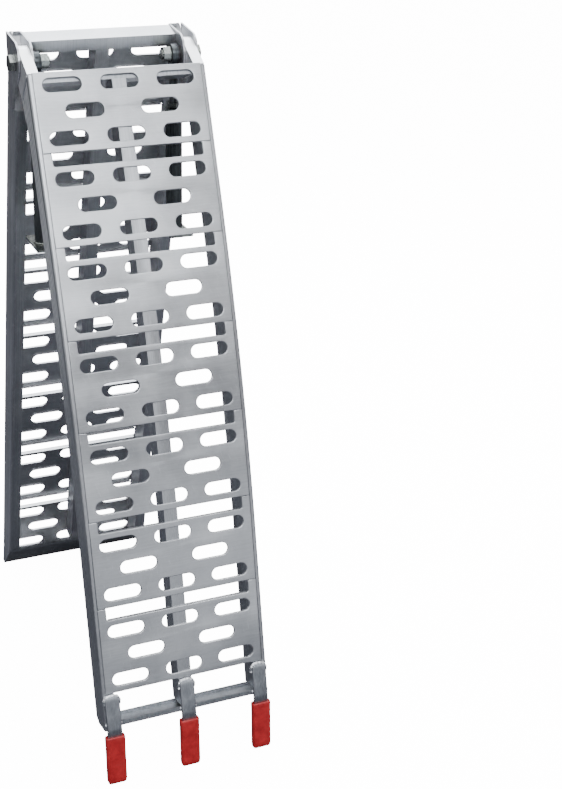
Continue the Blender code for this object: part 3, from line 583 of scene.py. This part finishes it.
def hook_rail(side, word):
    part = Part(hook_at)
    outer, hollow = rail_profile(side)
    outer_rings = part.loft(rail_sections(outer))
    hollow_rings = part.loft(rail_sections(hollow))
    for end in (0, -1):
        part.sheet([(outer_rings[end], outer), (hollow_rings[end], hollow)])
    part.build(f"rail_hook_{word}", "rail_hook", "hook_half", replaces=f"hook_rail_{word}",
               angle=32.0)

    plug = Part(hook_at)
    near, far = plug.loft([[(x, hook_tail(e) - back, e) for x, e in hollow]
                           for back in (PLUG_NEAR, PLUG_FAR)])
    plug.faces += [tuple(near), tuple(far[::-1])]
    plug.build(f"rail_plug_{word}", "plate", "hook_half")


for side, word in SIDES:
    hook_rail(side, word)

# ---- weld beads ----------------------------------------------------------------------
BEAD_STEP = 1.6
BEAD_SIDES = 8
BEAD_RIPPLE, BEAD_RIPPLE_RATE = 0.16, 1.9  # share of the radius, radians per step
BEAD_JITTER, BEAD_WANDER = 0.10, 0.14      # random shares of the radius
BEAD_END = 0.45                            # radius share at the open ends


def bead(name, path, radius, body, material="weld", closed=False):
    """Rippled bead along a path of world points."""
    points = []
    corners = path + [path[0]] if closed else path
    for start, end in zip(corners, corners[1:]):
        steps = max(1, int((end - start).length / (BEAD_STEP * MM)))
        points += [start.lerp(end, i / steps) for i in range(steps)]
    if not closed:
        points.append(path[-1])
    part = Part()
    rings = []
    n = len(points)
    for i, point in enumerate(points):
        if closed:
            along = (points[(i + 1) % n] - points[i - 1]).normalized()
        else:
            along = (points[min(i + 1, n - 1)] - points[max(i - 1, 0)]).normalized()
        reference = Vector((0, 0, 1)) if abs(along.z) < 0.9 else Vector((1, 0, 0))
        across = along.cross(reference).normalized()
        upward = along.cross(across)
        size = radius * (1.0 + BEAD_RIPPLE * math.sin(i * BEAD_RIPPLE_RATE)
                         + BEAD_JITTER * (rng.random() - 0.5))
        if not closed and i in (0, n - 1):
            size *= BEAD_END
        wander = (rng.random() - 0.5) * BEAD_WANDER * radius
        ring = []
        for k in range(BEAD_SIDES):
            a = 2 * math.pi * k / BEAD_SIDES
            ring.append(point + (across * (math.cos(a) * size + wander)
                                 + upward * math.sin(a) * size) * MM)
        rings.append(part.world_ring(ring))
    for ring, following in zip(rings, rings[1:]):
        part.wall(ring, following)
    if closed:
        part.wall(rings[-1], rings[0])
    else:
        part.cap_ends(rings)
    part.build(name, material, body, angle=60.0)


def cut_weld(e):
    return hook_cut(e) - 1.6, e


def cheek_weld(e):
    """Along the cheek's lower edge, which slopes by 2.21 of s per depth."""
    return GROUND_START + 0.4 + e * 2.21 + 16.0, e - 2.0


HOOK_BAR_S, GROUND_BAR_S, END_BAR_S = HOOK_START + 15.9, GROUND_START + 20.8, 1050.4
BAR_WELD_X = RAIL_IN - 0.6
# name, body, x on the right side, radius, path of (s, e)
SIDE_WELDS = (
    # cut end of the arched half's rail, where its closing plate is welded on
    ("hook_cut", "hook_half", RAIL_OUT - 0.2, 1.5, (cut_weld(5.0), cut_weld(46.0))),
    ("hook_cut_in", "hook_half", RAIL_IN + 0.2, 1.4, (cut_weld(46.0), cut_weld(6.0))),
    ("cheek", "ground_half", RAIL_OUT + 0.6, 1.3,
     tuple(cheek_weld(e) for e in (6.0, 16.0, 26.0, 36.0))),
    # crossbar ends, against the rails
    ("hook_bar", "hook_half", BAR_WELD_X, 1.4, ((HOOK_BAR_S, 9.0), (HOOK_BAR_S, 40.0))),
    ("ground_bar", "ground_half", BAR_WELD_X, 1.4, ((GROUND_BAR_S, 8.0), (GROUND_BAR_S, 39.0))),
    ("end_bar", "hook_half", BAR_WELD_X, 1.5, ((END_BAR_S, 4.0), (END_BAR_S, 33.0))),
    ("end_bar_top", "hook_half", RAIL_IN - 0.4, 1.1, ((1042.5, 0.2), (1049.0, 0.2))),
)
for side, word in SIDES:
    for tag, body, x, radius, path in SIDE_WELDS:
        bead(f"weld_{tag}_{word}", [PLACE[body](side * x, s, e) for s, e in path], radius, body)

# ---- fingers and their dipped sleeves ------------------------------------------------
# finger stations: (s, half-width), with a rounded upper end
FINGER_STATIONS = ([(998.0, 6.4), (998.9, 8.6), (1000.4, 10.3), (1002.6, 11.4)]
                   + [(s, FINGER_HW) for s in (1005.5, 1028.0, 1041.0, 1047.0, 1051.0, 1054.0,
                                               1058.0, 1062.0, 1066.0, 1100.0, 1147.0)])
# sleeve stations: (s, growth over the finger)
SLEEVE_STATIONS = (
    (1065.0, 0.35), (1064.0, 1.2), (1063.7, 2.2), (1064.3, 3.1), (1066.0, 3.5),
    (1071.0, 3.45), (1084.0, 3.3), (1104.0, 3.3), (1124.0, 3.35), (1139.0, 3.4),
    (1145.0, 3.2), (1148.4, 2.4), (1150.3, 1.0), (1151.0, -1.0))
SLEEVE_BORE = (1065.0, 1148.0)
# bead round the finger's upper end: (x from the finger's middle, s)
SEAT_WELD = (
    (-12.6, 1012.0), (-12.6, 1006.0), (-11.6, 1001.6), (-9.0, 998.6), (-5.0, 997.2),
    (0.0, 996.9), (5.0, 997.2), (9.0, 998.6), (11.6, 1001.6), (12.6, 1006.0), (12.6, 1012.0))
SIDE_WELD_X, SIDE_WELD_S = 12.6, (1042.4, 1046.0, 1049.4)
WELD_LIFT, CENTRE_WELD_LIFT = 0.8, 0.4


def finger(middle, word):
    part = Part(finger_at)
    rings = part.loft([
        [(middle + x, s, lift)
         for x, lift in rounded_rect(half_width, 0.0, FINGER_THICK, FINGER_EDGE, steps=4)]
        for s, half_width in FINGER_STATIONS])
    part.cap_ends(rings)
    part.build(f"finger_{word}", "finger", "hook_half", replaces=f"hook_finger_{word}")


def sleeve(middle, word):
    part = Part(finger_at)
    skin = part.loft([
        [(middle + x, s, lift) for x, lift in rounded_rect(
            FINGER_HW + grow * 1.18, -grow, FINGER_THICK + grow,
            max(0.9, FINGER_EDGE + grow * 0.75), steps=5)]
        for s, grow in SLEEVE_STATIONS])
    part.faces.append(tuple(skin[-1]))
    section = rounded_rect(FINGER_HW + 0.25, -0.22, FINGER_THICK + 0.22, FINGER_EDGE, steps=5)
    mouth, bottom = [part.ring([(middle + x, s, lift) for x, lift in section])
                     for s in SLEEVE_BORE]
    part.wall(mouth, skin[0])
    part.wall(mouth, bottom)
    part.faces.append(tuple(bottom))
    part.build(f"sleeve_{word}", "red", "hook_half",
               replaces=f"hook_sleeve_{word}", angle=60.0)


def finger_welds(middle, word):
    """Beads round the finger's seat and where it crosses the end bar."""
    lift = CENTRE_WELD_LIFT if word == "centre" else WELD_LIFT
    bead(f"weld_finger_{word}", [hook_at(middle + x, s, -lift) for x, s in SEAT_WELD], 2.7,
         "hook_half")
    for side, tag in ((-1, "a"), (1, "b")):
        bead(f"weld_finger_{word}_{tag}",
             [hook_at(middle + side * SIDE_WELD_X, s, -WELD_LIFT) for s in SIDE_WELD_S], 1.7,
             "hook_half")


for middle, word in FINGERS:
    finger(middle, word)
    sleeve(middle, word)
    finger_welds(middle, word)

# ---- support legs --------------------------------------------------------------------
EYE_STEPS = 48
# eye skins: (x from the leg's middle, radius)
EYE_OUTSIDE = ((-6.0, 15.1), (-5.7, 15.7), (-5.0, 16.0), (5.0, 16.0), (5.7, 15.7), (6.0, 15.1))
EYE_BORE = ((-6.0, 9.0), (-5.4, 8.4), (5.4, 8.4), (6.0, 9.0))
ROD_TOP, ROD_END, ROD_RADIUS = 14.0, 205.0, 7.0
ROD_STEP, ROD_SIDES = 0.34, 28
NECK_END, NECK_FLARE = 24.0, 0.16        # the rod widens above this depth, radius per depth
THREAD_PITCH, THREAD_DEPTH = 2.0, 0.95
THREAD_FADE_IN, THREAD_FADE_OUT = 4.0, 3.0
CREST = 1.25                             # above 1 it flattens the crests
# closed beads round the leg: name, ring radius, distance down, bead radius
LEG_WELDS = (("foot", 13.9, 287.2, 1.9), ("collar", 13.3, 91.7, 1.3))


def rod_radius(down, a):
    phase = (down / THREAD_PITCH - a / (2 * math.pi)) % 1.0
    ridge = 1.0 - abs(2.0 * phase - 1.0)
    fade_in = min(1.0, max(0.0, (down - NECK_END) / THREAD_FADE_IN))
    fade_out = min(1.0, max(0.0, (ROD_END - down) / THREAD_FADE_OUT))
    groove = THREAD_DEPTH * fade_in * fade_out * (1.0 - min(1.0, ridge * CREST))
    return ROD_RADIUS - groove + max(0.0, NECK_END - down) * NECK_FLARE


def leg_rod(middle, word):
    """Eye on the fold axis and a threaded rod with a flared neck, as its own closed skin."""
    part = Part(leg_at)
    outside, bore = [
        part.loft([[(middle + dx, y, down) for y, down in circle(radius, EYE_STEPS)]
                   for dx, radius in profile])
        for profile in (EYE_OUTSIDE, EYE_BORE)]
    part.wall(outside[0], bore[0])
    part.wall(outside[-1], bore[-1])
    rows = int((ROD_END - ROD_TOP) / ROD_STEP)
    sections = []
    for j in range(rows + 1):
        down = ROD_TOP + (ROD_END - ROD_TOP) * j / rows
        section = []
        for i in range(ROD_SIDES):
            a = 2 * math.pi * i / ROD_SIDES
            radius = rod_radius(down, a)
            section.append((middle + radius * math.cos(a), radius * math.sin(a), down))
        sections.append(section)
    part.cap_ends(part.loft(sections))
    part.build(f"leg_rod_{word}", "leg", f"leg_{word}",
               replaces=f"leg_eye_rod_{word}", angle=50.0)


for side, word in SIDES:
    leg_rod(side * LEG_X, word)
    for tag, ring_radius, down, radius in LEG_WELDS:
        path = [leg_at(side * LEG_X + x, y, down) for x, y in circle(ring_radius, 24)]
        bead(f"weld_{tag}_{word}", path, radius, f"leg_{word}_foot", "zinc",
             closed=True)


# ---- finishes on the CAD nodes -------------------------------------------------------
def finish_for(node):
    """Material and bevel width for a CAD node; the first rule that fits wins."""
    if node.startswith("hinge_"):
        return "zinc", 0.45
    if node.startswith(("leg_lock", "leg_tube_nut")):
        return "zinc", 0.4
    if node.startswith("foot_"):
        return "zinc", 0.5
    if node.startswith("leg_"):
        return "leg", 0.5
    if node.startswith(("ground_rail_cap", "ground_hinge_crossbar")):
        return "rail_ground", 0.4
    # the near-white aluminium on the brackets is a painted highlight
    if "bracket" in node:
        return "bracket", 0.5
    if any(word in node for word in ("cheek", "web", "end_plate", "rail_cap")):
        return "plate", 0.5
    if node.startswith("ground_rail"):
        return "rail_ground", 0.0
    if node.startswith("ground_"):
        return "rail_ground", 0.6
    # the two crossbars under the deck take the darker finger aluminium as painted shade
    if node.startswith("hook_hinge_crossbar"):
        return "finger", 0.7
    if node.startswith("hook_end_crossbar"):
        return "finger", 1.0
    if node.startswith("hook_centre_beam"):
        return "rail_hook", 0.5
    return "plate", 0.0


def dress(node):
    material, width = finish_for(node)
    ob = frame["nodes"][node]
    ob.data.materials.clear()
    ob.data.materials.append(MATERIALS[material])
    if width:
        bevel = ob.modifiers.new("broken_edges", "BEVEL")
        bevel.width = width * MM
        bevel.segments = 2
        bevel.limit_method = "ANGLE"
        bevel.angle_limit = math.radians(30.0)
        bevel.harden_normals = False
        bevel.use_clamp_overlap = True
        shading = ob.modifiers.new("even_shading", "WEIGHTED_NORMAL")
        shading.keep_sharp = False


for node in frame["nodes"]:
    dress(node)

# ---- floor and world (metres from here on) -------------------------------------------
WHITE = (1.0, 1.0, 1.0, 1.0)
BACKDROP_GLOW = 14.0                     # floor and world as the camera sees them


def floor_material():
    """Glowing white to the camera, dim grey to every other ray."""
    material, tree, bsdf = new_material("pale_floor")
    paper = noise(tree, coords(tree), scale=6.0, detail=4.0, rough=0.5)
    colour = ramp(tree, paper, [(0.3, (0.84, 0.84, 0.845)), (0.7, (0.88, 0.88, 0.885))])
    tree.links.new(colour, bsdf.inputs["Base Color"])
    bsdf.inputs["Roughness"].default_value = 0.85
    bsdf.inputs["Specular IOR Level"].default_value = 0.1
    ray = tree.nodes.new("ShaderNodeLightPath")
    dim = tree.nodes.new("ShaderNodeBsdfDiffuse")
    dim.inputs["Color"].default_value = (0.075, 0.08, 0.092, 1.0)
    glow = tree.nodes.new("ShaderNodeEmission")
    glow.inputs["Color"].default_value = WHITE
    glow.inputs["Strength"].default_value = BACKDROP_GLOW
    lit = tree.nodes.new("ShaderNodeAddShader")
    tree.links.new(bsdf.outputs[0], lit.inputs[0])
    tree.links.new(glow.outputs[0], lit.inputs[1])
    pick = tree.nodes.new("ShaderNodeMixShader")
    output = next(node for node in tree.nodes if node.type == "OUTPUT_MATERIAL")
    tree.links.new(ray.outputs["Is Camera Ray"], pick.inputs[0])
    tree.links.new(dim.outputs[0], pick.inputs[1])
    tree.links.new(lit.outputs[0], pick.inputs[2])
    tree.links.new(pick.outputs[0], output.inputs[0])
    return material


def lay_floor():
    mesh = bpy.data.meshes.new("floor")
    mesh.from_pydata([(-30, -30, 0), (30, -30, 0), (30, 40, 0), (-30, 40, 0)], [],
                     [(0, 1, 2, 3)])
    floor = bpy.data.objects.new("floor", mesh)
    bpy.context.scene.collection.objects.link(floor)
    mesh.materials.append(floor_material())


def studio_world():
    """Dark below and bright above for the light, plain white to the camera."""
    world = bpy.data.worlds.new("studio")
    bpy.context.scene.world = world
    world.use_nodes = True
    tree = world.node_tree
    tree.nodes.clear()
    output = tree.nodes.new("ShaderNodeOutputWorld")
    sky = tree.nodes.new("ShaderNodeBackground")
    source = tree.nodes.new("ShaderNodeTexCoord")
    split = tree.nodes.new("ShaderNodeSeparateXYZ")
    tree.links.new(source.outputs["Generated"], split.inputs[0])
    rise = maths(tree, "ADD", maths(tree, "MULTIPLY", split.outputs["Z"], 0.5), 0.5)
    colour = ramp(tree, rise, [
        (0.0, (0.03, 0.03, 0.036)), (0.47, (0.10, 0.105, 0.12)), (0.56, (0.33, 0.34, 0.37)),
        (0.64, (0.85, 0.86, 0.88)), (0.90, (1.0, 1.0, 1.0))])
    tree.links.new(colour, sky.inputs["Color"])
    sky.inputs["Strength"].default_value = 0.85
    plain = tree.nodes.new("ShaderNodeBackground")
    plain.inputs["Color"].default_value = WHITE
    plain.inputs["Strength"].default_value = BACKDROP_GLOW
    ray = tree.nodes.new("ShaderNodeLightPath")
    pick = tree.nodes.new("ShaderNodeMixShader")
    tree.links.new(ray.outputs["Is Camera Ray"], pick.inputs[0])
    tree.links.new(sky.outputs[0], pick.inputs[1])
    tree.links.new(plain.outputs[0], pick.inputs[2])
    tree.links.new(pick.outputs[0], output.inputs[0])


lay_floor()
studio_world()

# ---- lights and camera ---------------------------------------------------------------
# name, place, aim, (width, height), watts
LIGHTS = (
    ("key", (-0.6, -3.4, 2.9), (0, -0.1, 0.8), (2.6, 1.2), 84.0),
    ("low", (0.35, -1.6, 0.03), (0, -0.3, 0.22), (1.7, 1.0), 4.6),
    ("back", (0.7, 1.9, 3.0), (0, 0.0, 1.05), (2.2, 1.6), 75.0),
    ("top", (0.2, 0.3, 3.6), (0, 0.1, 0.5), (2.4, 2.4), 60.0),
    ("left", (-3.2, 0.3, 0.9), (0, 0, 0.5), (1.6, 1.2), 9.0),
    ("right", (3.2, -0.2, 1.3), (0, 0, 0.6), (2.0, 1.8), 34.0),
)
for name, place, aim, size, power in LIGHTS:
    light = bpy.data.lights.new(name, "AREA")
    light.shape = "RECTANGLE"
    light.size, light.size_y = size
    light.energy = power
    light.color = (0.92, 0.96, 1.0)
    ob = bpy.data.objects.new(name, light)
    ob.location = place
    ob.rotation_euler = (Vector(aim) - Vector(place)).to_track_quat("-Z", "Y").to_euler()
    ob.visible_camera = False
    bpy.context.scene.collection.objects.link(ob)

CAMERA_PLACE = Vector((-0.63979, -2.13927, 1.54545))
# radians: yaw from +Y towards +X, pitch downward, roll about the view
YAW, PITCH_DOWN, ROLL = 0.41489, 0.43406, 0.02945


def add_camera():
    view = Vector((math.sin(YAW) * math.cos(PITCH_DOWN), math.cos(YAW) * math.cos(PITCH_DOWN),
                   -math.sin(PITCH_DOWN)))
    level = Vector((math.cos(YAW), -math.sin(YAW), 0.0))
    upright = level.cross(view)
    right = level * math.cos(ROLL) + upright * math.sin(ROLL)
    up = upright * math.cos(ROLL) - level * math.sin(ROLL)
    data = bpy.data.cameras.new("camera")
    data.sensor_fit = "HORIZONTAL"
    data.sensor_width = 36.0
    data.lens = 92.0479
    data.clip_end = 100.0
    camera = bpy.data.objects.new("camera", data)
    columns = zip(right, up, -view, CAMERA_PLACE)
    camera.matrix_world = Matrix((*columns, (0, 0, 0, 1)))
    bpy.context.scene.collection.objects.link(camera)
    bpy.context.scene.camera = camera


add_camera()
